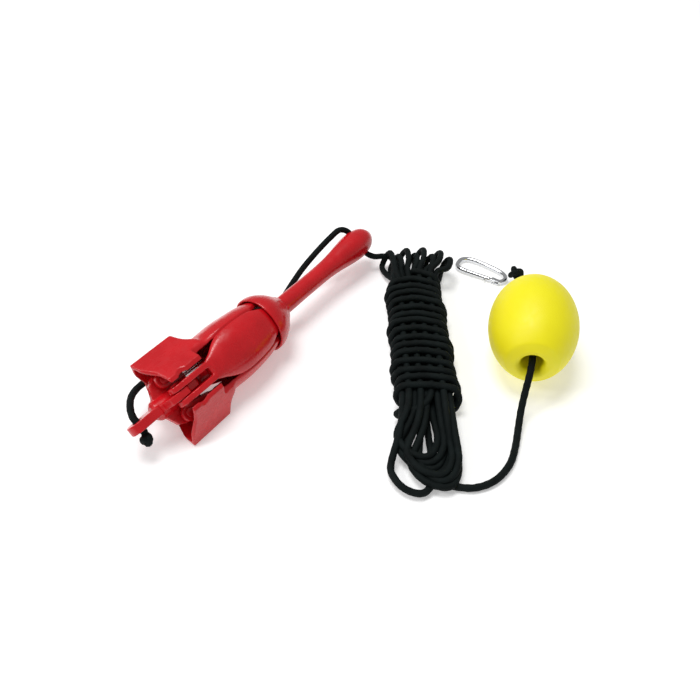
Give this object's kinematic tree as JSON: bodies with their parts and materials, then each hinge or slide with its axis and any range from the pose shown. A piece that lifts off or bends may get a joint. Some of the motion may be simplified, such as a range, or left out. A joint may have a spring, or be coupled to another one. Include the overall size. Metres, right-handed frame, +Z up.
{
  "type": "folding grapnel anchor",
  "caption": "Folding grapnel anchor with hinged flukes and a sliding collar, folded, with rope hank, foam float and snap hook",
  "frame": {"origin": "on the floor under the middle of the folded anchor's own bounding box, rope and what is on it left out", "axes": "+X along the shank from the crown eye to the top eye, +Z up, +Y to the side away from the hank"},
  "size_m": [0.3849, 0.2896, 0.0782],
  "materials": {
    "red_coating": "gloss",
    "pin_coating": "gloss",
    "black_cord": "matte",
    "yellow_foam": "satin",
    "plated_steel": "polished"
  },
  "bodies": {
    "anchor": {"shank_with_top_eye": "red_coating", "crown_with_lugs": "red_coating", "hinge_pin_front_upper": "pin_coating", "hinge_pin_back_upper": "pin_coating", "hinge_pin_back_lower": "pin_coating", "hinge_pin_front_lower": "pin_coating", "rope_crown_to_hank": "black_cord", "rope_hank_to_clip": "black_cord", "rope_hank": "black_cord", "rope_crown_knot": "black_cord", "rope_clip_knot": "black_cord", "clip_body": "plated_steel", "clip_gate_rivet": "plated_steel"},
    "collar": {"sliding_collar": "red_coating"},
    "fluke_front_upper": {"fluke_front_upper": "red_coating"},
    "fluke_back_upper": {"fluke_back_upper": "red_coating"},
    "fluke_back_lower": {"fluke_back_lower": "red_coating"},
    "fluke_front_lower": {"fluke_front_lower": "red_coating"},
    "clip_gate": {"clip_gate": "plated_steel"},
    "float": {"float": "yellow_foam"}
  },
  "joints": [
    {"name": "collar_slide", "type": "slide", "parent": "anchor", "child": "collar", "axis": [1, 0, 0], "range_m": [0, 0.06]},
    {"name": "fluke_front_upper_hinge", "type": "hinge", "parent": "anchor", "child": "fluke_front_upper", "pos_m": [-0.116, -0.01202, 0.04222], "axis": [0, -0.7071, -0.7071], "range_deg": [0, 72]},
    {"name": "fluke_back_upper_hinge", "type": "hinge", "parent": "anchor", "child": "fluke_back_upper", "pos_m": [-0.116, 0.01202, 0.04222], "axis": [0, -0.7071, 0.7071], "range_deg": [0, 72]},
    {"name": "fluke_back_lower_hinge", "type": "hinge", "parent": "anchor", "child": "fluke_back_lower", "pos_m": [-0.116, 0.01202, 0.01818], "axis": [0, 0.7071, 0.7071], "range_deg": [0, 72]},
    {"name": "fluke_front_lower_hinge", "type": "hinge", "parent": "anchor", "child": "fluke_front_lower", "pos_m": [-0.116, -0.01202, 0.01818], "axis": [0, 0.7071, -0.7071], "range_deg": [0, 72]},
    {"name": "clip_gate_hinge", "type": "hinge", "parent": "anchor", "child": "clip_gate", "pos_m": [0.2021, -0.1299, 0.0032], "axis": [0, 0, -1], "range_deg": [0, 24], "stiffness_Nm_per_rad": 0.02},
    {"name": "float_spin", "type": "hinge", "parent": "anchor", "child": "float", "pos_m": [0.123, -0.204, 0.0393], "axis": [0.9114, 0.4115, 0], "continuous": true}
  ]
}
